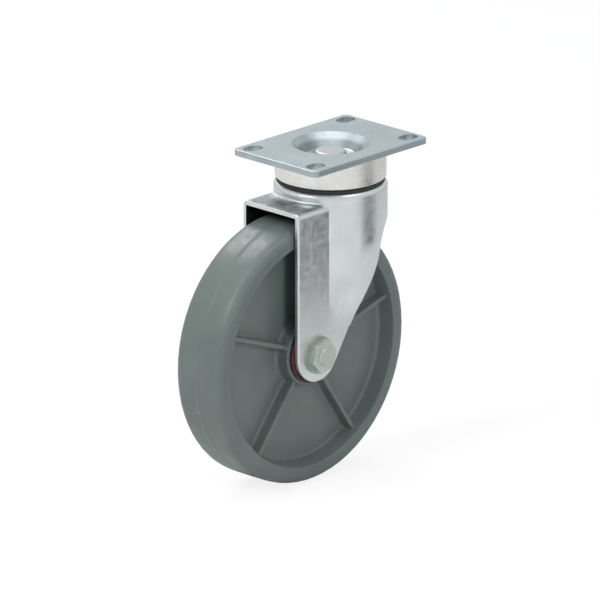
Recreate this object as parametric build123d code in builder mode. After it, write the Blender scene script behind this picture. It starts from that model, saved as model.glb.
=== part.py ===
from build123d import *
from math import cos, pi, radians, sin, sqrt, tan
import os

# Swivel plate castor with one moulded wheel.
#
# Frame: the origin is where the swivel axis meets the top face of the mounting plate.
# +Z points up along the swivel axis, the axle runs along Y, and the wheel trails
# towards -X. The hexagon of the axle nut is on the -Y side.
#
# The castor comes apart into three groups:
#   plate side   top_plate, upper_race_cup, kingpin, lower_race, kingpin_washer, kingpin_nut
#   fork side    fork, dust_seal, axle_bolt, spanner_bushing, washers and nut
#   wheel side   wheel, bearing_sleeve and the two thread guards
# with two rings of balls between plate and fork, and caged rollers in the hub.

os.makedirs("parts", exist_ok=True)

# ---------------------------------------------------------------- driving dimensions

# Overall
wheel_diameter = 152.0
tread_width = 35.0
axle_trail = 32.5  # axle behind the swivel axis

# Clearances
tread_gap = 6.7  # between the tread and the fork's flat top
leg_gap = 1.5  # between the wheel's rim face and the inner face of a leg
press_gap = 0.02  # radial, pieces pushed together by hand or light press
bolt_clearance = 0.25  # radial, bolt in its hole
roller_clearance = 0.1  # radial, roller to each of its tracks
ball_clearance = 0.15  # ball to its grooves
skirt_clearance = 1.0  # radial, race cup skirt round the fork's neck
seal_clearance = 0.5  # race cup skirt above the dust seal
cage_clearance = 0.2  # roller in its cage pocket
thrust_clearance = 0.2  # thread guard to its thrust washer

# Mounting plate
plate_length = 92.0
plate_width = 64.0
plate_thickness = 3.5
plate_corner_radius = 3.5
slot_inset_x = 8.5  # centre of a bolt slot from the plate's end
slot_inset_y = 8.0  # centre of a bolt slot from the plate's long edge
slot_width = 8.6
slot_length = 12.0
bowl_radius = 22.0  # pressed bowl, at the plate's top face
bowl_floor_radius = 14.0
bowl_depth = 7.0
bowl_bend_radius = 1.5  # inner radius of the bowl's two bends

# Swivel bearing
ball_diameter = 6.35
groove_depth = 0.8
upper_pitch_radius = 24.5
upper_ball_count = 22
lower_pitch_radius = 14.5
lower_ball_count = 13
cup_radius = 31.3  # outside of the race cup's skirt
cup_skirt_wall = 2.3
cup_flange_thickness = 2.5
cup_height = 14.7
cup_seat_clearance = 0.6  # radial, between the cup's bore and the bowl
lower_race_radius = 20.0
lower_race_thickness = 3.4
lower_race_lip_wall = 1.7
lower_race_lip_height = 3.4
kingpin_radius = 7.0
kingpin_thread_radius = 6.0
kingpin_head_radius = 9.0
kingpin_head_height = 3.0
kingpin_end_projection = 1.0
kingpin_washer_radius = 10.5
kingpin_washer_thickness = 1.2
kingpin_nut_flats = 18.0
kingpin_nut_height = 4.8
seal_wall = 2.5

# Fork
sheet = 2.5
drum_radius = 32.0
drum_rim_radius = 3.0
shoulder_drop = 20.8  # plate top face down to the drum's shoulder
shelf_drop = 26.8  # plate top face down to the fork's flat top
crown_inner_radius = 18.0
crown_floor_depth = 8.2  # crown ring's top down to its floor
crown_hole_radius = 9.5
inner_bend_radius = 0.8  # inside of the head's bends
outer_bend_radius = 1.6  # outside of the head's bends
leg_end_radius = 16.0
leg_taper = 32.0  # degrees between a leg's rear edge and the vertical
leg_waist_x = 8.5  # where a leg's rear edge turns upright
leg_waist_radius = 60.0
rear_arch_radius = 16.0
rear_wall_drop = 41.0  # plate top face down to the drum's rear edge
bulge_start_drop = 48.0  # where the pressed bulge of a leg starts to fade
bulge_end_rise = 11.0  # above the axle, where it has faded out
bulge_steps = 4  # cross-sections that shape the fading bulge
flat_arc = 0.05  # depth left in the bulge's last cross-section
fork_bend_radius = 3.5
drum_root_radius = 1.5  # where the drum rises out of the flat top
leg_edge_round = 1.0  # outer edge, round the legs and along the flat top
edge_round = 0.6

# Wheel
tread_corner_radius = 5.5
rim_width = 10.0  # radial, of the rim's side face
recess_draft = 2.5  # radial, over the depth of the recess
web_thickness = 15.0
hub_radius = 19.5
hub_draft = 0.8
hub_length = 31.0
rib_count = 5
rib_thickness = 3.2
rib_draft = 3.0  # degrees each side
rib_drop = 3.0  # ribs below the rim's side face
rib_angle = 16.0  # degrees from +X towards +Z, first rib
rib_root = 1.6  # how far a rib's ends run into the hub and the rim
recess_fillet = 2.0

# Wheel bearing
axle_radius = 5.0
bushing_wall = 2.75
roller_diameter = 3.8
roller_length = 24.0
roller_count = 12
cage_wall = 1.4
cage_end = 2.0  # solid ring at each end of the cage
sleeve_wall = 1.5
guard_radius = 17.0
guard_thickness = 2.7
guard_spigot_depth = 1.6
guard_spigot_wall = 2.0
guard_round = 1.0
thrust_washer_radius = 12.0
axle_washer_radius = 10.8
axle_washer_thickness = 1.2
axle_nut_flats = 17.0
axle_nut_height = 4.2
axle_head_height = 4.2
axle_end_projection = 1.0
hex_chamfer = 0.7
hex_turn = 12.0  # degrees, how the axle's hexagons happen to stand
thread_chamfer = 0.6

# ---------------------------------------------------------------- worked-out places

ball_radius = ball_diameter / 2
groove_radius = ball_radius + ball_clearance
race_gap = 2 * (ball_radius - groove_depth)  # between two facing raceways

# Axle, hung so that the wheel clears the fork's flat top
wheel_radius = wheel_diameter / 2
axle_drop = shelf_drop + sheet + tread_gap + wheel_radius
axle_centre = (-axle_trail, 0, -axle_drop)

# Mounting plate
bolt_spacing_x = plate_length - 2 * slot_inset_x
bolt_spacing_y = plate_width - 2 * slot_inset_y

# Swivel head, from the plate's underside down
plate_under = -plate_thickness
bowl_slope = (bowl_radius - bowl_floor_radius) / bowl_depth  # radius per mm of depth
bowl_skin = plate_thickness * (sqrt(1 + bowl_slope**2) - bowl_slope)
bowl_floor = -bowl_depth
bowl_under = bowl_floor - plate_thickness
flange_under = plate_under - cup_flange_thickness
upper_ball_z = flange_under - race_gap / 2
crown_top = flange_under - race_gap
cup_bottom = plate_under - cup_height
skirt_inner_radius = cup_radius - cup_skirt_wall
neck_radius = skirt_inner_radius - skirt_clearance
floor_top = crown_top - crown_floor_depth
floor_under = floor_top - sheet
lower_ball_z = floor_under - race_gap / 2
lower_race_top = floor_under - race_gap
lower_race_under = lower_race_top - lower_race_thickness
kingpin_washer_under = lower_race_under - kingpin_washer_thickness
kingpin_nut_under = kingpin_washer_under - kingpin_nut_height
kingpin_end = kingpin_nut_under - kingpin_end_projection
shoulder_top = -shoulder_drop
seal_top = cup_bottom - seal_clearance

# Fork, sideways from the wheel's middle plane
rim_face = tread_width / 2
leg_inner = rim_face + leg_gap
leg_outer = leg_inner + sheet
shelf_top = -shelf_drop
drum_inner_radius = drum_radius - sheet
bulge_end_drop = axle_drop - bulge_end_rise
leg_front = -axle_trail - leg_end_radius

# Wheel and its bearing, outwards along the axle
rim_inner_radius = wheel_radius - rim_width
recess_floor_radius = rim_inner_radius - recess_draft
web_face = web_thickness / 2
hub_face = hub_length / 2
rib_face = rim_face - rib_drop
bushing_inner_radius = axle_radius + bolt_clearance
bushing_radius = bushing_inner_radius + bushing_wall
roller_pitch_radius = bushing_radius + roller_clearance + roller_diameter / 2
sleeve_inner_radius = roller_pitch_radius + roller_diameter / 2 + roller_clearance
sleeve_radius = sleeve_inner_radius + sleeve_wall
sleeve_half_length = hub_face - guard_spigot_depth
guard_face = hub_face + guard_thickness
guard_bore_radius = bushing_radius + cage_clearance + roller_clearance
axle_hole_radius = axle_radius + bolt_clearance

# Lines and planes that several pieces share
swivel_axis = Axis.Z
axle_line = Axis(axle_centre, (0, 1, 0))
section = Plane.XZ  # local x is the radius from the swivel axis, local y is height
axle_section = Plane(origin=axle_centre, x_dir=(0, 1, 0), z_dir=(1, 0, 0))


def axle_plane(distance, side=1):
    """Plane square to the axle, at a distance from the middle and facing out of that side."""
    centre = (-axle_trail, side * distance, -axle_drop)
    return Plane(origin=centre, x_dir=(1, 0, 0), z_dir=(0, side, 0))


def hexagon(plane, flats, height):
    """Hexagon standing on a plane, with the corners of its far face turned to a cone."""
    corner_radius = flats / sqrt(3)
    with BuildPart() as block:
        with BuildSketch(plane):
            Circle(corner_radius)
        extrude(amount=height)
        chamfer(block.faces().sort_by(Axis(plane.origin, plane.z_dir))[-1].edges(), hex_chamfer)
        with BuildSketch(plane):
            RegularPolygon(flats / 2, 6, major_radius=False, rotation=hex_turn)
        extrude(amount=height, mode=Mode.INTERSECT)
    return block.part


def bulge_outline(height, chord, face, full_depth):
    """Half of a leg's cross-section at a height: an arc that stands out of the leg's face."""
    faded = (-height - bulge_start_drop) / (bulge_end_drop - bulge_start_drop)
    depth = flat_arc + (full_depth - flat_arc) * (1 + cos(pi * faded)) / 2
    with BuildSketch(Plane.XY.offset(height)) as outline:
        with BuildLine():
            ThreePointArc((-chord, -face), (0, -face - depth), (chord, -face))
            Polyline((chord, -face), (chord, 0), (-chord, 0), (-chord, -face))
        make_face()
    return outline.sketch


def leg_bulge(chord, face, full_depth):
    """Solid of both legs' bulges, from the drum's full curve until they have faded out."""
    fall = bulge_end_drop - bulge_start_drop
    heights = [-bulge_start_drop - fall * step / bulge_steps for step in range(bulge_steps + 1)]
    outlines = [bulge_outline(height, chord, face, full_depth) for height in heights]
    with BuildPart() as bulge:
        loft(outlines)
        mirror(about=Plane.XZ)
    return bulge.part


# ---------------------------------------------------------------- plate side

with BuildPart() as top_plate:
    with BuildSketch(Plane.XY.offset(plate_under)):
        RectangleRounded(plate_length, plate_width, plate_corner_radius)
        with GridLocations(bolt_spacing_x, bolt_spacing_y, 2, 2):
            SlotOverall(slot_length, slot_width, mode=Mode.SUBTRACT)
        Circle(cup_radius, mode=Mode.SUBTRACT)
    extrude(amount=plate_thickness)
    with BuildSketch(section):
        with BuildLine():
            Polyline(
                (cup_radius, 0),
                (bowl_radius, 0),
                (bowl_floor_radius, bowl_floor),
                (kingpin_radius, bowl_floor),
                (kingpin_radius, bowl_under),
                (bowl_floor_radius + bowl_skin, bowl_under),
                (bowl_radius + bowl_skin, plate_under),
                (cup_radius, plate_under),
                close=True,
            )
        make_face()
        bends = vertices().group_by(Axis.X)
        fillet(bends[1] + bends[4], bowl_bend_radius)
        fillet(bends[2] + bends[3], bowl_bend_radius + plate_thickness)
    revolve(axis=swivel_axis)
    top_face = faces().sort_by(Axis.Z)[-1]
    fillet(top_face.outer_wire().edges(), edge_round)
top_plate.part.label = "top_plate"
export_step(top_plate.part, "parts/top_plate.step")

cup_bore = bowl_radius + bowl_skin + cup_seat_clearance

with BuildPart() as upper_race_cup:
    with BuildSketch(section):
        with BuildLine():
            Polyline(
                (cup_bore, plate_under),
                (cup_radius, plate_under),
                (cup_radius, cup_bottom),
                (skirt_inner_radius, cup_bottom),
                (skirt_inner_radius, flange_under),
                (cup_bore - bowl_slope * cup_flange_thickness, flange_under),
                close=True,
            )
        make_face()
        fillet(vertices().group_by(Axis.Y)[0].sort_by(Axis.X)[-1], edge_round)
        with Locations((upper_pitch_radius, upper_ball_z)):
            Circle(groove_radius, mode=Mode.SUBTRACT)
    revolve(axis=swivel_axis)
upper_race_cup.part.label = "upper_race_cup"
export_step(upper_race_cup.part, "parts/upper_race_cup.step")

with BuildPart() as kingpin:
    with BuildSketch(section):
        with BuildLine():
            Polyline(
                (0, bowl_floor + kingpin_head_height),
                (kingpin_head_radius, bowl_floor + kingpin_head_height),
                (kingpin_head_radius, bowl_floor),
                (kingpin_radius - press_gap, bowl_floor),
                (kingpin_radius - press_gap, lower_race_top),
                (kingpin_thread_radius, lower_race_top),
                (kingpin_thread_radius, kingpin_end),
                (0, kingpin_end),
                close=True,
            )
        make_face()
        head_rim = vertices().group_by(Axis.Y)[-1].sort_by(Axis.X)[-1]
        fillet(head_rim, kingpin_head_height / 2)
        thread_end = vertices().group_by(Axis.Y)[0].sort_by(Axis.X)[-1]
        chamfer(thread_end, thread_chamfer)
    revolve(axis=swivel_axis)
kingpin.part.label = "kingpin"
export_step(kingpin.part, "parts/kingpin.step")

lower_lip_inner = lower_race_radius - lower_race_lip_wall

with BuildPart() as lower_race:
    with BuildSketch(section):
        with BuildLine():
            Polyline(
                (kingpin_thread_radius + press_gap, lower_race_under),
                (lower_race_radius, lower_race_under),
                (lower_race_radius, lower_race_top + lower_race_lip_height),
                (lower_lip_inner, lower_race_top + lower_race_lip_height),
                (lower_lip_inner, lower_race_top),
                (kingpin_thread_radius + press_gap, lower_race_top),
                close=True,
            )
        make_face()
        with Locations((lower_pitch_radius, lower_ball_z)):
            Circle(groove_radius, mode=Mode.SUBTRACT)
        fillet(vertices().group_by(Axis.Y)[0].sort_by(Axis.X)[-1], outer_bend_radius)
    revolve(axis=swivel_axis)
lower_race.part.label = "lower_race"
export_step(lower_race.part, "parts/lower_race.step")

with BuildPart() as kingpin_washer:
    with BuildSketch(Plane.XY.offset(kingpin_washer_under)):
        Circle(kingpin_washer_radius)
        Circle(kingpin_thread_radius + bolt_clearance, mode=Mode.SUBTRACT)
    extrude(amount=kingpin_washer_thickness)
kingpin_washer.part.label = "kingpin_washer"
export_step(kingpin_washer.part, "parts/kingpin_washer.step")

nut_seat = Plane(origin=(0, 0, kingpin_washer_under), x_dir=(1, 0, 0), z_dir=(0, 0, -1))
kingpin_hexagon = hexagon(nut_seat, kingpin_nut_flats, kingpin_nut_height)

with BuildPart() as kingpin_nut:
    add(kingpin_hexagon)
    with BuildSketch(nut_seat):
        Circle(kingpin_thread_radius + press_gap)
    extrude(amount=kingpin_nut_height, mode=Mode.SUBTRACT)
kingpin_nut.part.label = "kingpin_nut"
export_step(kingpin_nut.part, "parts/kingpin_nut.step")


def ball_ring(pitch_radius, height, count):
    """Ring of separate balls round the swivel axis."""
    with BuildPart() as balls:
        with Locations((0, 0, height)):
            with PolarLocations(pitch_radius, count):
                Sphere(ball_radius)
    return balls.part


upper_balls = ball_ring(upper_pitch_radius, upper_ball_z, upper_ball_count)
upper_balls.label = "upper_balls"
export_step(upper_balls, "parts/upper_balls.step")

lower_balls = ball_ring(lower_pitch_radius, lower_ball_z, lower_ball_count)
lower_balls.label = "lower_balls"
export_step(lower_balls, "parts/lower_balls.step")

# ---------------------------------------------------------------- fork side

# The fork is pressed from one sheet: a flat top folded down into two legs, and a drum
# raised through it. The drum's wall runs on down the outside of each leg as a bulge
# that fades out towards the axle, and the drum's top is drawn up into the raceways.

drum_chord = sqrt(drum_radius**2 - leg_outer**2)
inner_chord = sqrt(drum_inner_radius**2 - leg_inner**2)
outer_bulge = leg_bulge(drum_chord, leg_outer, drum_radius - leg_outer)
inner_bulge = leg_bulge(inner_chord, leg_inner, drum_inner_radius - leg_inner)
leg_bottom = -axle_drop - leg_end_radius
clear_front = leg_front - leg_end_radius

with BuildPart() as fork:
    # Outside: folded channel, drum and bulges
    with BuildSketch(Plane.XY.offset(leg_bottom)):
        Rectangle(-leg_front, 2 * leg_outer, align=(Align.MAX, Align.CENTER))
    extrude(amount=shelf_top - leg_bottom)
    fillet(edges().filter_by(Axis.X).group_by(Axis.Z)[-1], fork_bend_radius)
    with BuildSketch(section):
        with BuildLine():
            Polyline(
                (0, shoulder_top),
                (drum_radius, shoulder_top),
                (drum_radius, -bulge_start_drop),
                (0, -bulge_start_drop),
                close=True,
            )
        make_face()
        fillet(vertices().group_by(Axis.Y)[-1].sort_by(Axis.X)[-1], drum_rim_radius)
    revolve(axis=swivel_axis)
    fillet(edges().filter_by(GeomType.BSPLINE), drum_root_radius)  # runs on along the drum's foot
    add(outer_bulge)

    # Side outline of the legs, common to all that stands so far
    with BuildSketch(section):
        with BuildLine():
            leg_end = CenterArc((-axle_trail, -axle_drop), leg_end_radius, 180, 180 - leg_taper)
            taper_start = leg_end @ 1
            waist_z = taper_start.Y + (leg_waist_x - taper_start.X) / tan(radians(leg_taper))
            Polyline(
                taper_start,
                (leg_waist_x, waist_z),
                (leg_waist_x, -rear_wall_drop),
                (drum_radius, -rear_wall_drop),
                (drum_radius, 0),
                (leg_front, 0),
                leg_end @ 0,
            )
        make_face()
        waist_room = -rear_wall_drop - rear_arch_radius - 2 * leg_edge_round - waist_z
        waist_radius = min(leg_waist_radius, waist_room / tan(radians(leg_taper / 2)))
        fillet(vertices().sort_by_distance((leg_waist_x, waist_z))[0], waist_radius)
        fillet(vertices().sort_by_distance((leg_waist_x, -rear_wall_drop))[0], rear_arch_radius)
    extrude(amount=drum_radius, both=True, mode=Mode.INTERSECT)

    # Inside: the channel between the legs, the drum and the back of the bulges
    with BuildSketch(Plane.XY.offset(shelf_top - sheet)):
        Rectangle(-clear_front, 2 * leg_inner, align=(Align.MAX, Align.CENTER))
    extrude(amount=leg_bottom - shelf_top, mode=Mode.SUBTRACT)
    with BuildSketch(Plane.XY.offset(shoulder_top - sheet)):
        Circle(drum_inner_radius)
    extrude(amount=-(bulge_start_drop - shoulder_drop - sheet), mode=Mode.SUBTRACT)
    add(inner_bulge, mode=Mode.SUBTRACT)

    # Head: neck, crown ring and floor, drawn up through the drum's shoulder
    with BuildSketch(Plane.XY.offset(shoulder_top)):
        Circle(neck_radius)
    extrude(amount=-sheet, mode=Mode.SUBTRACT)
    with BuildSketch(section):
        with BuildLine():
            Polyline(
                (neck_radius, shoulder_top - sheet),
                (neck_radius, crown_top),
                (crown_inner_radius, crown_top),
                (crown_inner_radius, floor_top),
                (crown_hole_radius, floor_top),
                (crown_hole_radius, floor_under),
                (crown_inner_radius + sheet, floor_under),
                (crown_inner_radius + sheet, crown_top - sheet),
                (neck_radius - sheet, crown_top - sheet),
                (neck_radius - sheet, shoulder_top - sheet),
                close=True,
            )
        make_face()
        levels = vertices().group_by(Axis.Y)
        floor_bend = levels[1].sort_by(Axis.X)[-1]
        wall_bend = levels[2].sort_by(Axis.X)[-1]
        fillet(levels[4] + [floor_bend], outer_bend_radius)
        fillet(levels[3] + [wall_bend], inner_bend_radius)
        with Locations((upper_pitch_radius, upper_ball_z), (lower_pitch_radius, lower_ball_z)):
            Circle(groove_radius, mode=Mode.SUBTRACT)
    revolve(axis=swivel_axis)

    # Axle holes
    with BuildSketch(axle_plane(0)):
        Circle(axle_hole_radius)
    extrude(amount=leg_outer, both=True, mode=Mode.SUBTRACT)
    leg_end = edges().sort_by_distance((-axle_trail, -leg_outer, leg_bottom))[0]
    fillet(leg_end, leg_edge_round)  # runs on over the flat top to the other leg
fork.part.label = "fork"
export_step(fork.part, "parts/fork.step")

with BuildPart() as dust_seal:
    with BuildSketch(section):
        with Locations((neck_radius + press_gap, shoulder_top)):
            Rectangle(seal_wall, seal_top - shoulder_top, align=Align.MIN)
        fillet(vertices().group_by(Axis.Y)[-1].sort_by(Axis.X)[-1], seal_wall / 2)
    revolve(axis=swivel_axis)
dust_seal.part.label = "dust_seal"
export_step(dust_seal.part, "parts/dust_seal.step")

with BuildPart() as spanner_bushing:
    with BuildSketch(axle_plane(0)):
        Circle(bushing_radius)
        Circle(bushing_inner_radius, mode=Mode.SUBTRACT)
    extrude(amount=leg_inner, both=True)
spanner_bushing.part.label = "spanner_bushing"
export_step(spanner_bushing.part, "parts/spanner_bushing.step")

washer_face = leg_outer + axle_washer_thickness
nut_face = washer_face + axle_nut_height
bolt_head = hexagon(axle_plane(washer_face, 1), axle_nut_flats, axle_head_height)
nut_hexagon = hexagon(axle_plane(washer_face, -1), axle_nut_flats, axle_nut_height)

with BuildPart() as axle_bolt:
    add(bolt_head)
    with BuildSketch(axle_plane(washer_face)):
        Circle(axle_radius)
    extrude(amount=-washer_face - nut_face - axle_end_projection)
    chamfer(faces().sort_by(Axis.Y)[0].edges(), thread_chamfer)
axle_bolt.part.label = "axle_bolt"
export_step(axle_bolt.part, "parts/axle_bolt.step")

with BuildPart() as axle_nut:
    add(nut_hexagon)
    with BuildSketch(axle_plane(washer_face, -1)):
        Circle(axle_radius + press_gap)
    extrude(amount=axle_nut_height, mode=Mode.SUBTRACT)
axle_nut.part.label = "axle_nut"
export_step(axle_nut.part, "parts/axle_nut.step")


def washer(inner_face, thickness, outer_radius, bore_radius, side):
    """Flat ring on the axle whose inner face is at a distance from the middle plane."""
    with BuildPart() as ring:
        with BuildSketch(axle_plane(inner_face, side)):
            Circle(outer_radius)
            Circle(bore_radius, mode=Mode.SUBTRACT)
        extrude(amount=thickness)
    return ring.part


def thread_guard(side):
    """Cap that closes the hub's bore round the bushing, with a spigot against the sleeve."""
    with BuildPart() as guard:
        with BuildSketch(axle_section):
            with BuildLine():
                Polyline(
                    (side * guard_face, guard_bore_radius),
                    (side * guard_face, guard_radius),
                    (side * hub_face, guard_radius),
                    (side * hub_face, sleeve_radius - press_gap),
                    (side * sleeve_half_length, sleeve_radius - press_gap),
                    (side * sleeve_half_length, sleeve_radius - guard_spigot_wall),
                    (side * hub_face, sleeve_radius - guard_spigot_wall),
                    (side * hub_face, guard_bore_radius),
                    close=True,
                )
            make_face()
            fillet(vertices().sort_by_distance((side * guard_face, guard_radius))[0], guard_round)
        revolve(axis=axle_line)
    return guard.part


thrust_face = guard_face + thrust_clearance
for side, where in ((-1, "near"), (1, "far")):
    axle_washer = washer(
        leg_outer, axle_washer_thickness, axle_washer_radius, axle_hole_radius, side
    )
    axle_washer.label = f"axle_washer_{where}"
    export_step(axle_washer, f"parts/axle_washer_{where}.step")

    thrust_washer = washer(
        thrust_face, leg_inner - thrust_face, thrust_washer_radius, bushing_radius + press_gap, side
    )
    thrust_washer.label = f"thrust_washer_{where}"
    export_step(thrust_washer, f"parts/thrust_washer_{where}.step")

    guard = thread_guard(side)
    guard.label = f"thread_guard_{where}"
    export_step(guard, f"parts/thread_guard_{where}.step")

# ---------------------------------------------------------------- wheel side

with BuildPart() as wheel:
    with BuildSketch(axle_section):
        with BuildLine():
            Polyline(
                (0, sleeve_radius),
                (hub_face, sleeve_radius),
                (hub_face, hub_radius - hub_draft),
                (web_face, hub_radius),
                (web_face, recess_floor_radius),
                (rim_face, rim_inner_radius),
                (rim_face, wheel_radius),
                (0, wheel_radius),
            )
            mirror(about=Plane.YZ)
        make_face()
        rings = vertices().group_by(Axis.Y)
        tread_corners = rings[-1].sort_by(Axis.X)
        fillet(rings[2] + rings[3], recess_fillet)
        fillet(rings[1] + rings[4], edge_round)
        fillet([tread_corners[0], tread_corners[-1]], tread_corner_radius)
    revolve(axis=axle_line)
    rib_length = rim_inner_radius - hub_radius + 2 * rib_root
    rib_middle = (rim_inner_radius + hub_radius) / 2
    for side in (-1, 1):
        with BuildSketch(axle_plane(web_face, side)):
            with PolarLocations(rib_middle, rib_count, start_angle=-side * rib_angle):
                Rectangle(rib_length, rib_thickness)
        extrude(amount=rib_face - web_face, taper=rib_draft)
wheel.part.label = "wheel"
export_step(wheel.part, "parts/wheel.step")

with BuildPart() as bearing_sleeve:
    with BuildSketch(axle_plane(0)):
        Circle(sleeve_radius)
        Circle(sleeve_inner_radius, mode=Mode.SUBTRACT)
    extrude(amount=sleeve_half_length, both=True)
bearing_sleeve.part.label = "bearing_sleeve"
export_step(bearing_sleeve.part, "parts/bearing_sleeve.step")

with BuildPart() as bearing_rollers:
    with BuildSketch(axle_plane(0)):
        with PolarLocations(roller_pitch_radius, roller_count):
            Circle(roller_diameter / 2)
    extrude(amount=roller_length / 2, both=True)
bearing_rollers.part.label = "bearing_rollers"
export_step(bearing_rollers.part, "parts/bearing_rollers.step")

with BuildPart() as bearing_cage:
    with BuildSketch(axle_plane(0)):
        Circle(roller_pitch_radius + cage_wall / 2)
        Circle(roller_pitch_radius - cage_wall / 2, mode=Mode.SUBTRACT)
    extrude(amount=roller_length / 2 + cage_clearance + cage_end, both=True)
    with BuildSketch(axle_plane(0)):
        with PolarLocations(roller_pitch_radius, roller_count):
            Circle(roller_diameter / 2 + cage_clearance)
    extrude(amount=roller_length / 2 + cage_clearance, both=True, mode=Mode.SUBTRACT)
bearing_cage.part.label = "bearing_cage"
export_step(bearing_cage.part, "parts/bearing_cage.step")
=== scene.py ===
"""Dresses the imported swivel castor: zinc plated pressings, a moulded grey wheel and dark red guards.

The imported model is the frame. Its pieces stay and get their finish here, but for the wheel, which
is a surface worked out with numpy that stands for its node. Lengths are in metres in the frame's
own axes: +Z up the swivel axis, the axle along Y, the wheel behind at -X.
"""

import logging
from dataclasses import dataclass, field
from enum import Enum
from math import atan2, cos, pi, radians, sin
from typing import Any, Sequence

import bpy
import numpy as np
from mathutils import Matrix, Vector


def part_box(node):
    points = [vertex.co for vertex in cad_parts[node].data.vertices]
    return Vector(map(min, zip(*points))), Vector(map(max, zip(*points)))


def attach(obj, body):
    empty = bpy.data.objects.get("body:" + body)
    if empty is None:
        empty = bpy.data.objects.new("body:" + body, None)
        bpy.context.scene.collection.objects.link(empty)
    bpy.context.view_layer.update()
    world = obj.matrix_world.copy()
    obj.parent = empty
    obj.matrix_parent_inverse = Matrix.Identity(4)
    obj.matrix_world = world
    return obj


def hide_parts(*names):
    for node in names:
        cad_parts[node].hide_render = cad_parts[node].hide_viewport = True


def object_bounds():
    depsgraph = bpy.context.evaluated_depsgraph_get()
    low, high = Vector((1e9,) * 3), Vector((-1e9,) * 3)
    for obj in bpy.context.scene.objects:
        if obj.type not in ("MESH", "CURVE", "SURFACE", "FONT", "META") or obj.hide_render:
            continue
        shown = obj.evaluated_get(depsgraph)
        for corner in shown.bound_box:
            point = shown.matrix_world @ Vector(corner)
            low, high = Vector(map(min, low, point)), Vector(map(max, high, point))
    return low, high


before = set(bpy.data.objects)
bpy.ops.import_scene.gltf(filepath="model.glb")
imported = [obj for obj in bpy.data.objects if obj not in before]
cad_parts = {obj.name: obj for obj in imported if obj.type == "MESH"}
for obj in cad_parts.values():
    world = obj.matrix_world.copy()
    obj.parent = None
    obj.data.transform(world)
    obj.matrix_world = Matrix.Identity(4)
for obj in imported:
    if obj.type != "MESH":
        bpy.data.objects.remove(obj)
cad_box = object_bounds()

log = logging.getLogger("castor")

Colour = tuple[float, float, float]
Span = tuple[float, float]
MM = 0.001
TINY = 1e-6  # a turn in radians, or a length in metres, that counts as none


# ---------------------------------------------------------------- surfaces


def rounded_path(corners: Sequence[tuple[float, float]], radii: Sequence[float], arc_steps: int,
                 run_step: float) -> np.ndarray:
    """Sample an open outline whose corners are rounded by tangent arcs.

    Each inner corner is cut back by radius * tan(half its turn) along both of its runs, and the
    points between are centre + radius * (cos, sin) at evenly spaced angles. Straight runs get
    evenly spaced points.

    Args:
        corners: Points of the outline.
        radii: Rounding radius of each inner corner.
        arc_steps: Steps along each arc.
        run_step: Longest step along a straight run.

    Returns:
        Array of points, one row each.
    """
    points = np.asarray(corners, float)
    pieces = [points[:1]]
    for before, corner, after, radius in zip(points, points[1:], points[2:], radii):
        into = (corner - before) / np.linalg.norm(corner - before)
        out = (after - corner) / np.linalg.norm(after - corner)
        turn = atan2(into[0] * out[1] - into[1] * out[0], float(into @ out))
        if radius <= 0 or abs(turn) < TINY:
            pieces.append(corner[None])
            continue
        start = corner - into * radius * abs(np.tan(turn / 2))
        normal = np.array([-into[1], into[0]]) * np.sign(turn)
        centre = start + normal * radius
        angles = np.linspace(0, turn, arc_steps + 1)
        spoke = start - centre
        turned = np.stack([spoke[0] * np.cos(angles) - spoke[1] * np.sin(angles),
                           spoke[0] * np.sin(angles) + spoke[1] * np.cos(angles)], 1)
        pieces.append(centre + turned)
    pieces.append(points[-1:])
    rough = np.concatenate(pieces)
    gaps = np.linalg.norm(np.diff(rough, axis=0), axis=1)
    counts = np.maximum(1, np.ceil(gaps / run_step).astype(int))
    spans = [a + (b - a) * np.linspace(0, 1, n, endpoint=False)[:, None]
             for a, b, n in zip(rough, rough[1:], counts)]
    return np.concatenate([*spans, rough[-1:]])


def grid_object(name: str, points: np.ndarray) -> bpy.types.Object:
    """Make a mesh object from a grid of points that wraps round both ways, as a ring does.

    Each point is a corner of the four-sided face that it spans with the next point of its row,
    the next of its column and the one across from it.

    Args:
        name: Name of the object.
        points: Array of rows x columns x 3. Going up the rows and then along the columns turns
            clockwise when seen from outside.

    Returns:
        The new object, smooth shaded and linked to the scene.
    """
    rows, columns = points.shape[:2]
    lower = np.arange(rows * columns).reshape(rows, columns)
    upper = np.roll(lower, -1, 0)
    quads = np.stack([lower, np.roll(lower, -1, 1), np.roll(upper, -1, 1), upper], -1)
    mesh = bpy.data.meshes.new(name)
    mesh.from_pydata(points.reshape(-1, 3).tolist(), [], quads.reshape(-1, 4).tolist())
    mesh.shade_smooth()
    made = bpy.data.objects.new(name, mesh)
    bpy.context.scene.collection.objects.link(made)
    return made


def smooth_by_angle(piece: bpy.types.Object, degrees: float) -> None:
    """Keep edges that turn by more than an angle sharp, and shade the rest smooth."""
    piece.data.set_sharp_from_angle(angle=radians(degrees))


# ---------------------------------------------------------------- shader building


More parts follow.
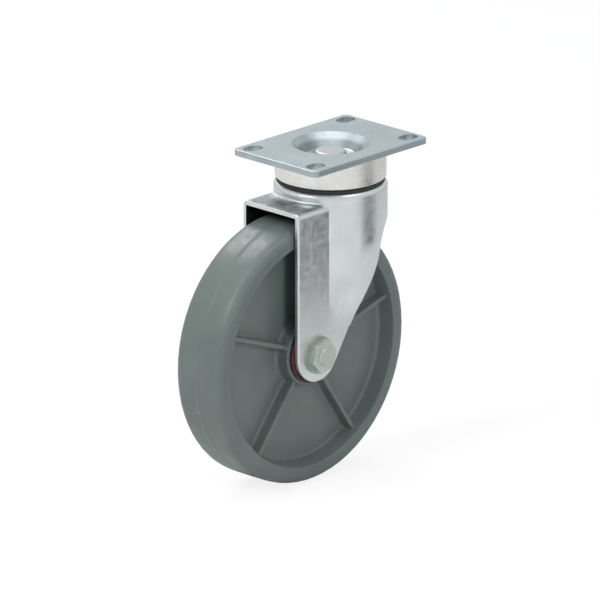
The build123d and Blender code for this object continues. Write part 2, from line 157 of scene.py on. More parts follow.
@dataclass
class Sheet:
    """A node tree being laid out: each call adds a node and gives back its output."""

    tree: bpy.types.NodeTree

    def add(self, kind: str, inputs: dict[Any, Any], **settings: Any) -> bpy.types.Node:
        """Add a node.

        Args:
            kind: The node's type.
            inputs: Socket name or number to a plain value or to another node's output.
            **settings: Attributes of the node.

        Returns:
            The node.
        """
        node = self.tree.nodes.new(kind)
        for key, value in settings.items():
            setattr(node, key, value)
        for key, value in inputs.items():
            if isinstance(value, bpy.types.NodeSocket):
                self.tree.links.new(value, node.inputs[key])
            else:
                node.inputs[key].default_value = value
        return node

    def math(self, operation: str, first: Any, second: Any = 0.0) -> bpy.types.NodeSocket:
        """Combine two values."""
        return self.add("ShaderNodeMath", {0: first, 1: second}, operation=operation).outputs[0]

    def remap(self, value: Any, low: float, high: float, to_low: float = 0.0,
              to_high: float = 1.0) -> bpy.types.NodeSocket:
        """Stretch a range of a value smoothly onto another range."""
        inputs = {"Value": value, "From Min": low, "From Max": high, "To Min": to_low, "To Max": to_high}
        return self.add("ShaderNodeMapRange", inputs, interpolation_type="SMOOTHSTEP").outputs[0]

    def blend(self, factor: Any, first: Any, second: Any) -> bpy.types.NodeSocket:
        """Blend two colours.

        Args:
            factor: Share of the second colour, as a value or another node's output.
            first: Plain colour or another node's output.
            second: Plain colour or another node's output.

        Returns:
            The blended colour.
        """
        node = self.add("ShaderNodeMix", {0: factor}, data_type="RGBA")
        for key, value in ((6, first), (7, second)):
            if isinstance(value, bpy.types.NodeSocket):
                self.tree.links.new(value, node.inputs[key])
            else:
                node.inputs[key].default_value = (*value, 1.0)
        return node.outputs[2]

    def noise(self, vector: Any, scale: Any, detail: float = 3.0, rough: float = 0.5) -> bpy.types.NodeSocket:
        """Cloudy noise from 0 to 1."""
        inputs = {"Vector": vector, "Scale": scale, "Detail": detail, "Roughness": rough}
        return self.add("ShaderNodeTexNoise", inputs).outputs[0]

    def stretch(self, vector: Any, scale: Sequence[float],
                turn: Sequence[float] = (0, 0, 0)) -> bpy.types.NodeSocket:
        """Turn a vector and scale it along its axes."""
        inputs = {"Vector": vector, "Scale": scale, "Rotation": turn}
        return self.add("ShaderNodeMapping", inputs).outputs[0]

    def bump(self, height: Any, depth: float, strength: float, normal: Any = None) -> bpy.types.NodeSocket:
        """Bump a normal by a height of 0 to 1 times a depth.

        Args:
            height: Output of another node, from 0 to 1.
            depth: Height of 1 in metres.
            strength: Share of the bump that shows.
            normal: Normal to start from, otherwise the surface's own.

        Returns:
            The bumped normal.
        """
        inputs = {"Height": height, "Distance": depth, "Strength": strength}
        if normal is not None:
            inputs["Normal"] = normal
        return self.add("ShaderNodeBump", inputs).outputs[0]

    def coordinate(self, name: str) -> bpy.types.NodeSocket:
        """Texture coordinate by its name, such as Object or Normal."""
        return self.add("ShaderNodeTexCoord", {}).outputs[name]

    def parts(self, vector: Any) -> Any:
        """Outputs X, Y and Z of a vector."""
        return self.add("ShaderNodeSeparateXYZ", {0: vector}).outputs


class Effect(Enum):
    """Shader node groups that several finishes share."""

    CLOUDS = "plating clouds"
    STREAKS = "drawing streaks"
    GRAIN = "fine grain"
    SCRATCHES = "handling scratches"
    # The dust group also paints shade where a finish gives it a dark colour, as on the fork's shelf.
    DUST = "settled dust and painted shade"
    # BOWL and INSIDE are painted shade: the bowl's lower wall, and the fork's inner and downward faces.
    BOWL = "painted shade in the bowl"
    INSIDE = "painted shade inside the fork"


class Recess(Enum):
    """Hollow of a piece that gets painted shade, with the effect that masks it."""

    NONE = None
    BOWL = Effect.BOWL
    INSIDE = Effect.INSIDE


@dataclass
class EffectShelf:
    """Builds each shared effect once and places it in materials.

    A span is the part of a noise, slope or length over which its mask goes from 0 to 1. At the
    bowl's rim and up its wall the mask goes from 1 to 0 instead.
    """

    cloud_span: Span = (0.3, 0.7)
    cloud_ratio: float = 6.0
    broad_span: Span = (0.35, 0.65)
    fine_span: Span = (0.15, 0.85)
    streak_ratio: float = 3.0
    grain_span: Span = (0.05, 0.45)
    hairline_turns: tuple[tuple[float, float, float], ...] = ((0.4, 0.9, 0.5), (-0.8, -0.3, 1.9))
    hairline_draw: tuple[float, float, float] = (1.0, 0.03, 0.03)
    hairline_width: float = 0.012
    patch_size: float = 70.0
    patch_span: Span = (0.5, 0.65)
    dust_size: float = 95.0
    dust_slope: Span = (0.75, 0.98)
    dust_span: Span = (0.2, 0.9)
    # Spans of the painted shade in the plate's bowl and inside the fork.
    bowl_rim: Span = (20.5 * MM, 22.5 * MM)
    bowl_wall: Span = (-4.2 * MM, -2.2 * MM)
    bowl_floor: Span = (-7.05 * MM, -6.75 * MM)
    inside_span: Span = (0.35, 0.75)
    built: dict[Effect, bpy.types.NodeTree] = field(default_factory=dict)

    def place(self, sheet: Sheet, effect: Effect, **values: Any) -> bpy.types.Node:
        """Place an effect in a material.

        Args:
            sheet: The material's node tree.
            effect: The effect.
            **values: Its inputs by name.

        Returns:
            The group node, whose outputs hold the effect's masks.
        """
        if effect not in self.built:
            self.built[effect] = getattr(self, f"_{effect.name.lower()}")()
        node = sheet.tree.nodes.new("ShaderNodeGroup")
        node.node_tree = self.built[effect]
        for key, value in values.items():
            if isinstance(value, bpy.types.NodeSocket):
                sheet.tree.links.new(value, node.inputs[key])
            else:
                node.inputs[key].default_value = value
        return node

    def _group(self, effect: Effect, inputs: Sequence[str],
               outputs: Sequence[str]) -> tuple[Sheet, Any, Any]:
        """Make an empty group with named sockets.

        Args:
            effect: The effect that the group holds.
            inputs: Names of its inputs, all plain values but for Vector.
            outputs: Names of its outputs, all values from 0 to 1.

        Returns:
            The group's sheet, its input node and its output node.
        """
        tree = bpy.data.node_groups.new(effect.value, "ShaderNodeTree")
        for name in inputs:
            kind = "NodeSocketVector" if name == "Vector" else "NodeSocketFloat"
            tree.interface.new_socket(name, in_out="INPUT", socket_type=kind)
        for name in outputs:
            tree.interface.new_socket(name, in_out="OUTPUT", socket_type="NodeSocketFloat")
        return Sheet(tree), tree.nodes.new("NodeGroupInput"), tree.nodes.new("NodeGroupOutput")

    def _clouds(self) -> bpy.types.NodeTree:
        """Slow and fast patches of plating: two noises, the second six times finer.

        Returns:
            The group's tree.
        """
        sheet, given, result = self._group(Effect.CLOUDS, ("Vector", "Size"), ("Slow", "Fast"))
        slow = sheet.noise(given.outputs["Vector"], given.outputs["Size"], 3.0, 0.55)
        finer = sheet.math("MULTIPLY", given.outputs["Size"], self.cloud_ratio)
        fast = sheet.noise(given.outputs["Vector"], finer, 4.0, 0.6)
        sheet.tree.links.new(sheet.remap(slow, *self.cloud_span), result.inputs["Slow"])
        sheet.tree.links.new(sheet.remap(fast, *self.cloud_span), result.inputs["Fast"])
        return sheet.tree

    def _streaks(self) -> bpy.types.NodeTree:
        """Lines left by the press: noise on coordinates that are squeezed along the draw.

        Returns:
            The group's tree.
        """
        sheet, given, result = self._group(Effect.STREAKS, ("Vector", "Size"), ("Broad", "Fine"))
        broad = sheet.noise(given.outputs["Vector"], given.outputs["Size"], 2.0, 0.5)
        finer = sheet.math("MULTIPLY", given.outputs["Size"], self.streak_ratio)
        fine = sheet.noise(given.outputs["Vector"], finer, 2.0, 0.5)
        sheet.tree.links.new(sheet.remap(broad, *self.broad_span), result.inputs["Broad"])
        sheet.tree.links.new(sheet.remap(fine, *self.fine_span), result.inputs["Fine"])
        return sheet.tree

    def _grain(self) -> bpy.types.NodeTree:
        """Even fine grain: the distance to scattered points, times noise.

        Returns:
            The group's tree.
        """
        sheet, given, result = self._group(Effect.GRAIN, ("Vector", "Size"), ("Grain",))
        placing = {"Vector": given.outputs["Vector"], "Scale": given.outputs["Size"]}
        cells = sheet.add("ShaderNodeTexVoronoi", placing, feature="SMOOTH_F1").outputs[0]
        veil = sheet.noise(given.outputs["Vector"], given.outputs["Size"], 3.0, 0.6)
        mixed = sheet.math("MULTIPLY", cells, veil)
        sheet.tree.links.new(sheet.remap(mixed, *self.grain_span), result.inputs["Grain"])
        return sheet.tree

    def _scratches(self) -> bpy.types.NodeTree:
        """Sparse hairlines both ways: narrow bands of two stretched noises, kept in some patches.

        Returns:
            The group's tree.
        """
        sheet, given, result = self._group(Effect.SCRATCHES, ("Vector", "Size", "Amount"), ("Lines",))
        lines = []
        for turn in self.hairline_turns:
            along = sheet.stretch(given.outputs["Vector"], self.hairline_draw, turn)
            band = sheet.math("SUBTRACT", sheet.noise(along, given.outputs["Size"], 1.0), 0.5)
            lines.append(sheet.remap(sheet.math("ABSOLUTE", band), 0.0, self.hairline_width, 1.0, 0.0))
        patch = sheet.remap(sheet.noise(given.outputs["Vector"], self.patch_size, 2.0), *self.patch_span)
        both = sheet.math("MULTIPLY", sheet.math("MAXIMUM", *lines), patch)
        sheet.tree.links.new(sheet.math("MULTIPLY", both, given.outputs["Amount"]), result.inputs["Lines"])
        return sheet.tree

    def _dust(self) -> bpy.types.NodeTree:
        """Dust on what faces up at rest, and painted shade where a finish gives it a dark colour: the height
        of the piece's own normal, broken up by noise.

        Returns:
            The group's tree.
        """
        sheet, given, result = self._group(Effect.DUST, ("Vector", "Amount"), ("Cover",))
        up = sheet.parts(sheet.coordinate("Normal"))["Z"]
        patches = sheet.noise(given.outputs["Vector"], self.dust_size, 4.0, 0.5)
        cover = sheet.math("MULTIPLY", sheet.remap(up, *self.dust_slope),
                           sheet.remap(patches, *self.dust_span))
        sheet.tree.links.new(sheet.math("MULTIPLY", cover, given.outputs["Amount"]), result.inputs["Cover"])
        return sheet.tree

    def _bowl(self) -> bpy.types.NodeTree:
        """Painted shade on the lower wall of the plate's bowl: inside its rim, and between its floor and half
        its depth.

        Returns:
            The group's tree.
        """
        sheet, given, result = self._group(Effect.BOWL, ("Vector",), ("Mask",))
        parts = sheet.parts(given.outputs["Vector"])
        across = sheet.math("ADD", sheet.math("POWER", parts["X"], 2.0), sheet.math("POWER", parts["Y"], 2.0))
        radius = sheet.math("POWER", across, 0.5)
        within = sheet.remap(radius, *self.bowl_rim, 1.0, 0.0)
        under = sheet.remap(parts["Z"], *self.bowl_wall, 1.0, 0.0)
        above = sheet.remap(parts["Z"], *self.bowl_floor)
        sheet.tree.links.new(sheet.math("MULTIPLY", within, sheet.math("MULTIPLY", under, above)),
                             result.inputs["Mask"])
        return sheet.tree

    def _inside(self) -> bpy.types.NodeTree:
        """Painted shade on faces that look inwards to the middle plane (own normal's Y against Y) or straight
        down.

        Returns:
            The group's tree.
        """
        sheet, given, result = self._group(Effect.INSIDE, ("Vector",), ("Mask",))
        side = sheet.parts(given.outputs["Vector"])["Y"]
        parts = sheet.parts(sheet.coordinate("Normal"))
        inward = sheet.math("MULTIPLY", parts["Y"], sheet.math("MULTIPLY", sheet.math("SIGN", side), -1.0))
        down = sheet.math("MULTIPLY", parts["Z"], -1.0)
        both = sheet.math("MAXIMUM", inward, down)
        sheet.tree.links.new(sheet.remap(both, *self.inside_span), result.inputs["Mask"])
        return sheet.tree


EFFECTS = EffectShelf()


def new_material(name: str) -> tuple[bpy.types.Material, Sheet, bpy.types.Node, bpy.types.NodeSocket]:
    """Start a material.

    Args:
        name: Name of the material.

    Returns:
        The material, its sheet, its Principled shader and its object coordinates.
    """
    material = bpy.data.materials.new(name)
    material.use_nodes = True
    sheet = Sheet(material.node_tree)
    shader = material.node_tree.nodes["Principled BSDF"]
    return material, sheet, shader, sheet.coordinate("Object")


@dataclass(frozen=True)
class ZincFinish:
    """Bright zinc plating on pressed or turned steel."""

    name: str
    bright: Colour
    dull: Colour
    tint: Colour
    roughness: float = 0.32
    streak_scale: tuple[float, float, float] = (1.0, 1.0, 1.0)
    streak_strength: float = 0.05
    # A dark dust colour paints shade on faces that look up; the recess colour is painted shade in a recess.
    dust: float = 0.15
    dust_and_shade_colour: Colour = (0.50, 0.50, 0.48)
    recess: Recess = Recess.NONE
    painted_recess_shade: Colour = (0.0, 0.0, 0.0)
    cloud_size: float = 45.0
    streak_size: float = 260.0
    streak_height: float = 0.03 * MM
    grain_size: float = 1100.0
    grain_depth: float = 0.015 * MM
    grain_strength: float = 0.05
    tint_share: float = 0.45
    streak_share: float = 0.3
    cloud_roughness: float = 0.10
    streak_roughness: float = 0.08
    dust_roughness: float = 0.3

    def material(self) -> bpy.types.Material:
        """Build the plating: cloudy colour, streaks along the draw, a dusting on faces that look up (painted
        shade where its colour is dark), and painted shade in a recess.

        Returns:
            The material.
        """
        material, sheet, shader, place = new_material(self.name)
        clouds = EFFECTS.place(sheet, Effect.CLOUDS, Vector=place, Size=self.cloud_size)
        drawn = sheet.stretch(place, self.streak_scale)
        streaks = EFFECTS.place(sheet, Effect.STREAKS, Vector=drawn, Size=self.streak_size)
        grain = EFFECTS.place(sheet, Effect.GRAIN, Vector=place, Size=self.grain_size)
        dust = EFFECTS.place(sheet, Effect.DUST, Vector=place, Amount=self.dust)
        base = sheet.blend(clouds.outputs["Slow"], self.bright, self.dull)
        tinted = sheet.blend(sheet.math("MULTIPLY", clouds.outputs["Fast"], self.tint_share), base, self.tint)
        share = sheet.math("MULTIPLY", streaks.outputs["Broad"], self.streak_share)
        streaked = sheet.blend(share, tinted, self.dull)
        # Where the dust colour is dark, as on the fork, this blend paints shade on faces that look up.
        dusted_and_shaded = sheet.blend(dust.outputs["Cover"], streaked, self.dust_and_shade_colour)
        # Painted shade: the recess mask darkens the plating towards the recess colour.
        if self.recess is not Recess.NONE:
            painted_shade_mask = EFFECTS.place(sheet, self.recess.value, Vector=place)
            dusted_and_shaded = sheet.blend(painted_shade_mask.outputs["Mask"], dusted_and_shaded, self.painted_recess_shade)
        shader.inputs["Metallic"].default_value = 1.0
        sheet.tree.links.new(dusted_and_shaded, shader.inputs["Base Color"])
        spread = sheet.math("MULTIPLY", clouds.outputs["Fast"], self.cloud_roughness)
        worn = sheet.math("MULTIPLY", streaks.outputs["Fine"], self.streak_roughness)
        least = self.roughness - self.cloud_roughness / 2
        rough = sheet.math("ADD", sheet.math("ADD", spread, worn), least)
        matt = sheet.math("ADD", rough, sheet.math("MULTIPLY", dust.outputs["Cover"], self.dust_roughness))
        sheet.tree.links.new(matt, shader.inputs["Roughness"])
        normal = sheet.bump(grain.outputs["Grain"], self.grain_depth, self.grain_strength)
        normal = sheet.bump(streaks.outputs["Fine"], self.streak_height, self.streak_strength, normal)
        sheet.tree.links.new(normal, shader.inputs["Normal"])
        return material


@dataclass(frozen=True)
class PlasticFinish:
    """Moulded plastic, with flow marks, grain and scuffs."""

    name: str
    body: Colour
    flow: Colour
    scuff: Colour
    roughness: float
    grain_size: float = 1500.0
    grain_depth: float = 0.03 * MM
    grain_strength: float = 0.35
    scuffs: float = 0.5
    scuff_size: float = 300.0
    scuff_share: float = 0.5
    dust: float = 0.1
    cloud_size: float = 30.0
    cloud_depth: float = 0.05 * MM
    cloud_strength: float = 0.25
    cloud_roughness: float = 0.12
    flow_share: float = 0.25

    def material(self) -> bpy.types.Material:
        """Build the plastic: body colour in faint flow clouds, pale scuffs and fine grain.

        Returns:
            The material.
        """
        material, sheet, shader, place = new_material(self.name)
        clouds = EFFECTS.place(sheet, Effect.CLOUDS, Vector=place, Size=self.cloud_size)
        grain = EFFECTS.place(sheet, Effect.GRAIN, Vector=place, Size=self.grain_size)
        lines = EFFECTS.place(sheet, Effect.SCRATCHES, Vector=place, Size=self.scuff_size,
                              Amount=self.scuffs)
        dust = EFFECTS.place(sheet, Effect.DUST, Vector=place, Amount=self.dust)
        base = sheet.blend(clouds.outputs["Slow"], self.body, self.flow)
        flowing = sheet.math("MULTIPLY", clouds.outputs["Fast"], self.flow_share)
        mottled = sheet.blend(flowing, base, self.flow)
        scratched = sheet.math("MULTIPLY", lines.outputs["Lines"], self.scuff_share)
        scuffed = sheet.blend(scratched, mottled, self.scuff)
        dusted_and_shaded = sheet.blend(dust.outputs["Cover"], scuffed, self.scuff)
        sheet.tree.links.new(dusted_and_shaded, shader.inputs["Base Color"])
        spread = sheet.math("MULTIPLY", clouds.outputs["Fast"], self.cloud_roughness)
        least = self.roughness - self.cloud_roughness / 2
        sheet.tree.links.new(sheet.math("ADD", spread, least), shader.inputs["Roughness"])
        normal = sheet.bump(grain.outputs["Grain"], self.grain_depth, self.grain_strength)
        normal = sheet.bump(clouds.outputs["Fast"], self.cloud_depth, self.cloud_strength, normal)
        sheet.tree.links.new(normal, shader.inputs["Normal"])
        return material


# The plate's recess colour is painted shade on the lower wall of its bowl.
PLATE_ZINC = ZincFinish(
    "plate zinc", bright=(0.49, 0.575, 0.60), dull=(0.41, 0.495, 0.52), tint=(0.49, 0.50, 0.56),
    roughness=0.32, streak_scale=(0.08, 1.0, 1.0), recess=Recess.BOWL, painted_recess_shade=(0.27, 0.31, 0.33))
CUP_ZINC = ZincFinish(
    "cup zinc", bright=(0.88, 0.89, 0.88), dull=(0.83, 0.81, 0.79), tint=(0.87, 0.85, 0.76), roughness=0.28)
# The fork's heavy dark dust is painted shade on its up-facing shelf; its recess colour is painted shade on
# the legs' inner faces and on faces that look down.
FORK_ZINC = ZincFinish(
    "fork zinc", bright=(0.83, 0.87, 0.87), dull=(0.72, 0.76, 0.74), tint=(0.81, 0.79, 0.83),
    roughness=0.30, streak_scale=(1.0, 1.0, 0.05), streak_strength=0.10, dust=1.4,
    dust_and_shade_colour=(0.22, 0.27, 0.26), recess=Recess.INSIDE, painted_recess_shade=(0.09, 0.10, 0.10))
BOLT_ZINC = ZincFinish(
    "bolt zinc", bright=(0.74, 0.77, 0.74), dull=(0.58, 0.62, 0.58), tint=(0.68, 0.73, 0.65),
    roughness=0.33)
KINGPIN_ZINC = ZincFinish(
    "kingpin zinc", bright=(0.58, 0.59, 0.65), dull=(0.51, 0.52, 0.57), tint=(0.60, 0.56, 0.62),
    roughness=0.38)
WASHER_ZINC = ZincFinish(
    "washer zinc", bright=(0.50, 0.57, 0.51), dull=(0.40, 0.46, 0.42), tint=(0.46, 0.50, 0.44),
    roughness=0.36)
BEARING_STEEL = ZincFinish(
    "bearing steel", bright=(0.72, 0.72, 0.73), dull=(0.66, 0.66, 0.68), tint=(0.70, 0.68, 0.66),
    roughness=0.14, streak_strength=0.02, dust=0.0)
TURNED_STEEL = ZincFinish(
    "turned steel", bright=(0.46, 0.47, 0.48), dull=(0.38, 0.38, 0.39), tint=(0.44, 0.42, 0.40),
    roughness=0.28, streak_scale=(1.0, 0.05, 1.0), dust=0.05)
WHEEL_GREY = PlasticFinish(
    "wheel grey", body=(0.148, 0.183, 0.170), flow=(0.128, 0.160, 0.152), scuff=(0.29, 0.32, 0.33),
    roughness=0.36)
GUARD_RED = PlasticFinish(
    "guard red", body=(0.120, 0.020, 0.024), flow=(0.085, 0.016, 0.020), scuff=(0.26, 0.12, 0.11),
    roughness=0.32, grain_size=2500.0, scuffs=0.3)
SEAL_RUBBER = PlasticFinish(
    "seal rubber", body=(0.028, 0.030, 0.027), flow=(0.020, 0.022, 0.020), scuff=(0.10, 0.10, 0.09),
    roughness=0.60, grain_size=2200.0, dust=0.25)


def dress(nodes: Sequence[str], finish: bpy.types.Material) -> None:
    """Give CAD nodes a finish and report each of them.

    Args:
        nodes: Names of the nodes.
        finish: The material that they get.
    """
    for name in nodes:
        for material_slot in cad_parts[name].material_slots:
            material_slot.material = finish
        log.info("%s: finished in %s", name, finish.name)


# ---------------------------------------------------------------- the castor's groups


@dataclass(frozen=True)
class Piece:
    """A finished piece: its object, the body it rides on, its slot and the nodes it stands for."""

    made: bpy.types.Object
    body: str
    slot: str
    stands_for: tuple[str, ...]

    def seat(self) -> None:
        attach(self.made, self.body)
        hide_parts(*self.stands_for)
        log.info("%s: %d faces on %s", self.made.name, len(self.made.data.polygons), self.body)


@dataclass
class SwivelHead:
    """Plate, races, kingpin and dust seal."""

    def dress(self) -> None:
        """Finish the plate side and the seal."""
        dress(("top_plate",), PLATE_ZINC.material())
        dress(("upper_race_cup",), CUP_ZINC.material())
        dress(("kingpin", "kingpin_washer", "kingpin_nut"), KINGPIN_ZINC.material())
        dress(("lower_race", "upper_balls", "lower_balls"), BEARING_STEEL.material())
        dress(("dust_seal",), SEAL_RUBBER.material())


@dataclass
class Fork:
    """Pressed fork and the axle that its legs hold."""

    def dress(self) -> None:
        """Finish the fork, the axle and its washers."""
        dress(("fork",), FORK_ZINC.material())
        dress(("axle_bolt", "axle_nut"), BOLT_ZINC.material())
        dress(("axle_washer_near", "axle_washer_far"), WASHER_ZINC.material())
        dress(("spanner_bushing", "thrust_washer_near", "thrust_washer_far"), TURNED_STEEL.material())


@dataclass
class WheelMoulding:
    """One-piece wheel: hub, web, ribs, rim and tread in one closed surface."""

    bore: float = 13.5 * MM
    hub_radius: float = 19.5 * MM
    hub_draft: float = 0.8 * MM
    hub_half: float = 15.5 * MM
    web_half: float = 7.5 * MM
    rib_half: float = 14.5 * MM
    rim_width: float = 10.0 * MM
    recess_draft: float = 2.5 * MM
    tread_round: float = 5.5 * MM
    crown: float = 0.4 * MM
    crown_flat: float = 0.4
    crown_round: float = 20.0 * MM
    parting_line: float = 0.05 * MM
    bore_round: float = 0.6 * MM
    edge_round: float = 0.9 * MM
    foot_round: float = 2.4 * MM
    section_step: float = 2.6 * MM
    section_arc_steps: int = 7
    crease_angle: float = 50.0
    rib_count: int = 5
    rib_thickness: float = 3.2 * MM
    rib_draft: float = 0.37 * MM
    rib_angle: float = 16.0
    rib_apron: float = 6.0 * MM
    rib_top_round: float = 0.7 * MM
    rib_foot_round: float = 1.8 * MM
    rib_step: float = 1.6 * MM
    rib_arc_steps: int = 6
    sector_steps: int = 12

    def outline(self, radius: float, half_width: float) -> np.ndarray:
        """Closed outline of the wheel's section.

        Args:
            radius: Tread radius.
            half_width: Half of the tread's width.

        Returns:
            Points of (distance along the axle, distance from it), from the bore's middle over
            one side, the tread and the other side back to the bore's middle.
        """
        rim = radius - self.rim_width
        line = self.parting_line
        tread = radius - line
        corners = [
            (0.0, self.bore), (self.hub_half, self.bore), (self.hub_half, self.hub_radius - self.hub_draft),
            (self.web_half, self.hub_radius), (self.web_half, rim - self.recess_draft), (half_width, rim),
            (half_width, tread - self.crown), (half_width * self.crown_flat, tread), (2 * line, tread),
            (0.0, radius),
        ]
        rounding = [self.bore_round, self.edge_round, self.foot_round, self.foot_round, self.edge_round,
                    self.tread_round, self.crown_round, 0.0]
        side = rounded_path(corners, rounding, self.section_arc_steps, self.section_step)
        return np.concatenate([side, (side * (-1, 1))[-2:0:-1]])

    def columns(self) -> tuple[np.ndarray, np.ndarray, np.ndarray]:
        """Columns of one sector, from the middle of a rib to the middle of the next.

        Returns:
            For each column its offset from the nearest rib's middle line, how far it has come
            over the plain web between two aprons, and the share of the rib's height it stands at.
        """
        half, base = self.rib_thickness / 2 - self.rib_draft, self.rib_thickness / 2
        wall = self.rib_half - self.web_half
        shape = rounded_path([(0.0, wall), (half, wall), (base, 0.0), (self.rib_apron, 0.0)],
                             [self.rib_top_round, self.rib_foot_round], self.rib_arc_steps, self.rib_step)
        offset, share = shape[:, 0], shape[:, 1] / wall
        between = np.linspace(0, 1, self.sector_steps + 1)[1:-1]
        plain = np.zeros_like(between)
        return (np.concatenate([offset, plain, -offset[:0:-1]]),
                np.concatenate([np.zeros_like(offset), between, np.ones(len(offset) - 1)]),
                np.concatenate([share, plain, share[:0:-1]]))

    def build(self) -> bpy.types.Object:
        """Build the moulding.

        A column runs at a fixed distance from the middle line of its rib, at the angle
        asin(distance / radius) from it. Columns between two ribs divide the angle left between
        them evenly. Over a rib the surface is lifted from the section's own height towards the
        rib's top by the column's share.

        Returns:
            The wheel's object.
        """
        low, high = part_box("wheel")
        centre = (low + high) / 2
        section = self.outline((high.z - low.z) / 2, (high.y - low.y) / 2)
        offset, between, share = self.columns()
        along, radius = section[:, :1], section[:, 1:]
        sector = 2 * pi / self.rib_count
        apron = np.arcsin(np.clip(self.rib_apron / radius, 0, 1))
        near_rib = np.arcsin(np.clip(offset[None] / radius, -1, 1))
        on_web = apron + (sector - 2 * apron) * between[None]
        next_rib = np.where(between[None] >= 1, sector + near_rib, on_web)
        angle = np.where(between[None] <= 0, near_rib, next_rib)
        height = np.abs(along)
        past_hub = radius > self.hub_radius - self.hub_draft - TINY
        inside = past_hub & (radius < section[:, 1].max() - self.rim_width)
        lift = np.where(inside, np.clip(self.rib_half - height, 0, None), 0.0) * share[None]
        lifted = np.sign(along) * (height + lift)
        turns = radians(self.rib_angle) + sector * np.arange(self.rib_count)
        angles = np.concatenate([angle + turn for turn in turns], axis=1)
        lifted = np.concatenate([lifted] * self.rib_count, axis=1)
        spread = np.broadcast_to(radius, angles.shape)
        points = np.stack([centre.x + spread * np.cos(angles), centre.y + lifted,
                           centre.z + spread * np.sin(angles)], -1)
        made = grid_object("wheel_moulding", points[:, ::-1])
        smooth_by_angle(made, self.crease_angle)
        return made

    def dress(self) -> None:
        """Build and finish the wheel, its guards and its bearing."""
        made = self.build()
        made.data.materials.append(WHEEL_GREY.material())
        Piece(made, "wheel", "wheel_grey", ("wheel",)).seat()
        dress(("thread_guard_near", "thread_guard_far"), GUARD_RED.material())
        dress(("bearing_sleeve", "bearing_cage"), TURNED_STEEL.material())
        dress(("bearing_rollers",), BEARING_STEEL.material())


# ---------------------------------------------------------------- studio


def matt_card(name: str, corners: Sequence[Sequence[float]], grey: float,
              roughness: float) -> tuple[bpy.types.Object, Sheet, bpy.types.Node]:
    """Make a flat stage card of four corners in a matt grey.

    Args:
        name: Name of the card and of its material.
        corners: Its corners, going round it.
        grey: How light it is, from 0 to 1.
        roughness: Roughness of its surface.

    Returns:
        The card, its material's sheet and its shader.
    """
    mesh = bpy.data.meshes.new(name)
    mesh.from_pydata(corners, [], [(0, 1, 2, 3)])
    made = bpy.data.objects.new(name, mesh)
    bpy.context.scene.collection.objects.link(made)
    material = bpy.data.materials.new(name)
    material.use_nodes = True
    shader = material.node_tree.nodes["Principled BSDF"]
    shader.inputs["Base Color"].default_value = (grey, grey, grey, 1.0)
    shader.inputs["Roughness"].default_value = roughness
    shader.inputs["Specular IOR Level"].default_value = 0.0
    mesh.materials.append(material)
    return made, Sheet(material.node_tree), shader


def sight(azimuth: float, elevation: float) -> Vector:
    """Unit vector from the castor to what stands at an azimuth from -Y and an elevation."""
    turn, rise = radians(azimuth), radians(elevation)
    return Vector((sin(turn) * cos(rise), -cos(turn) * cos(rise), sin(rise)))


@dataclass(frozen=True)
class SoftBox:
    """A soft lamp that points at the castor's middle, at a bearing and height round it."""

    name: str
    azimuth: float
    elevation: float
    distance: float
    width: float
    depth: float
    watts: float
    mirrored: bool = True

    def light(self, target: Vector) -> None:
        """Hang the lamp.

        Args:
            target: The point that it faces.
        """
        data = bpy.data.lights.new(self.name, "AREA")
        data.shape = "RECTANGLE"
        data.size, data.size_y = self.width, self.depth
        data.energy = self.watts
        lamp = bpy.data.objects.new(self.name, data)
        back = sight(self.azimuth, self.elevation)
        lamp.location = target + back * self.distance
        lamp.rotation_euler = (-back).to_track_quat("-Z", "Y").to_euler()
        lamp.visible_glossy = self.mirrored
        bpy.context.scene.collection.objects.link(lamp)


@dataclass(frozen=True)
class Flag:
    """A dark upright card that only reflections see, as a studio uses to shape bright metal."""

    name: str
    bearing: float
    reach: float
    width: float
    height: float
    level: float
    lift: float = 0.0

    def stand(self, floor: float) -> None:
        """Hold the card over the floor, square to its bearing from the swivel axis.

        Args:
            floor: Height of the floor.
        """
        foot = floor + self.lift
        turn = radians(self.bearing)
        out, along = Vector((cos(turn), sin(turn), 0)), Vector((-sin(turn), cos(turn), 0))
        middle = out * self.reach
        left, right = middle - along * self.width / 2, middle + along * self.width / 2
        corners = [(left.x, left.y, foot), (right.x, right.y, foot),
                   (right.x, right.y, foot + self.height), (left.x, left.y, foot + self.height)]
        made = matt_card(self.name, corners, self.level, 1.0)[0]
        made.visible_camera = made.visible_diffuse = made.visible_shadow = False


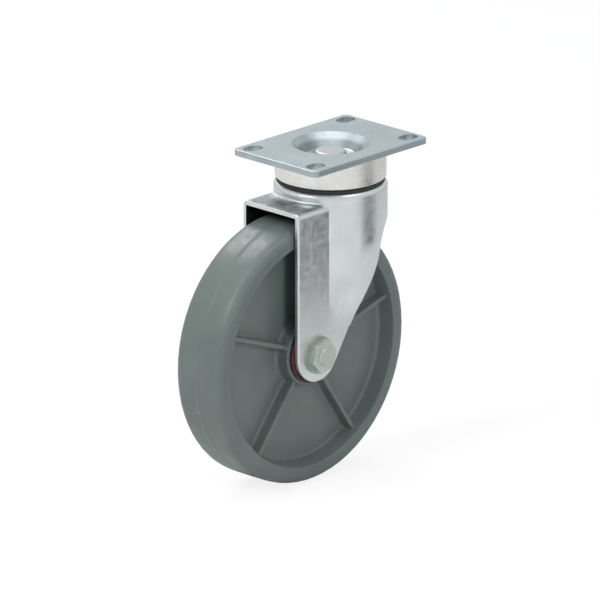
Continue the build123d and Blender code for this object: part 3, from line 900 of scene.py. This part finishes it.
@dataclass
class Studio:
    """Pale floor, even sky, soft lamps and the camera."""

    azimuth: float = -46.33
    elevation: float = 18.13
    distance: float = 5.885
    lens: float = 630.8
    sensor: float = 36.0
    target: tuple[float, float, float] = (-0.02477, 0.0, -0.08656)
    floor_drop: float = 0.5 * MM
    floor_reach: float = 6.0
    floor_grey: float = 0.78
    floor_roughness: float = 0.9
    floor_glow: float = 1.12
    floor_glow_share: float = 0.75
    sky_light: Colour = (0.20, 0.21, 0.22)
    sky_low: Colour = (0.74, 0.75, 0.75)
    sky_high: Colour = (0.66, 0.67, 0.68)
    sky_rise: Span = (0.4, 0.95)
    boxes: tuple[SoftBox, ...] = (
        SoftBox("front", azimuth=-15.0, elevation=26.0, distance=2.2, width=0.45, depth=0.45, watts=16.0,
                mirrored=False),
        SoftBox("left", azimuth=-100.0, elevation=42.0, distance=2.0, width=0.8, depth=0.8, watts=15.0,
                mirrored=False),
        SoftBox("glint", azimuth=-100.0, elevation=42.0, distance=1.9, width=0.8, depth=0.8, watts=4.0),
        SoftBox("strip", azimuth=-46.0, elevation=80.0, distance=1.5, width=2.2, depth=0.5, watts=7.0),
        SoftBox("back", azimuth=160.0, elevation=48.0, distance=1.8, width=0.9, depth=0.5, watts=9.0),
    )
    flags: tuple[Flag, ...] = (
        Flag("dark_flag", bearing=-56.0, reach=0.29, width=0.155, height=0.08, level=0.03, lift=0.012),
    )

    def camera(self) -> None:
        """Stand the camera off along its azimuth and elevation, looking at the target."""
        back = sight(self.azimuth, self.elevation)
        data = bpy.data.cameras.new("camera")
        data.sensor_width = self.sensor
        data.lens = self.lens
        data.clip_start, data.clip_end = 0.1, 50.0
        made = bpy.data.objects.new("camera", data)
        made.location = Vector(self.target) + back * self.distance
        made.rotation_euler = (-back).to_track_quat("-Z", "Y").to_euler()
        bpy.context.scene.collection.objects.link(made)
        bpy.context.scene.camera = made

    def sky(self) -> None:
        """Even grey sky for light, white where the camera looks straight at it."""
        world = bpy.data.worlds.new("sky")
        world.use_nodes = True
        sheet = Sheet(world.node_tree)
        path = sheet.add("ShaderNodeLightPath", {})
        height = sheet.parts(sheet.coordinate("Generated"))["Z"]
        mirrored = sheet.blend(sheet.remap(height, *self.sky_rise), self.sky_low, self.sky_high)
        lit = sheet.blend(path.outputs["Is Glossy Ray"], self.sky_light, mirrored)
        level = sheet.blend(path.outputs["Is Camera Ray"], lit, (1.0, 1.0, 1.0))
        sheet.tree.links.new(level, world.node_tree.nodes["Background"].inputs["Color"])
        bpy.context.scene.world = world

    def floor(self) -> None:
        """Wide pale floor just under the wheel, washed out to white for the camera."""
        level = cad_box[0].z - self.floor_drop
        ways = ((-1, -1), (1, -1), (1, 1), (-1, 1))
        corners = [(x * self.floor_reach, y * self.floor_reach, level) for x, y in ways]
        made, sheet, shader = matt_card("floor", corners, self.floor_grey, self.floor_roughness)
        glow = sheet.add("ShaderNodeEmission", {"Color": (1.0, 1.0, 1.0, 1.0), "Strength": self.floor_glow})
        seen = sheet.add("ShaderNodeLightPath", {}).outputs["Is Camera Ray"]
        share = sheet.math("MULTIPLY", seen, self.floor_glow_share)
        mixed = sheet.add("ShaderNodeMixShader", {0: share, 1: shader.outputs[0], 2: glow.outputs[0]})
        sheet.tree.links.new(mixed.outputs[0], sheet.tree.nodes["Material Output"].inputs["Surface"])

    def build(self) -> None:
        """Set up floor, sky, lamps and camera."""
        self.floor()
        self.sky()
        for box in self.boxes:
            box.light(Vector(self.target))
        for flag in self.flags:
            flag.stand(cad_box[0].z)
        self.camera()
        bpy.context.scene.view_settings.view_transform = "Standard"


def main() -> None:
    """Dress the castor group by group, then set up the studio."""
    logging.basicConfig(level=logging.INFO, format="%(name)s %(message)s")
    SwivelHead().dress()
    Fork().dress()
    WheelMoulding().dress()
    Studio().build()


if __name__ == "__main__":
    main()
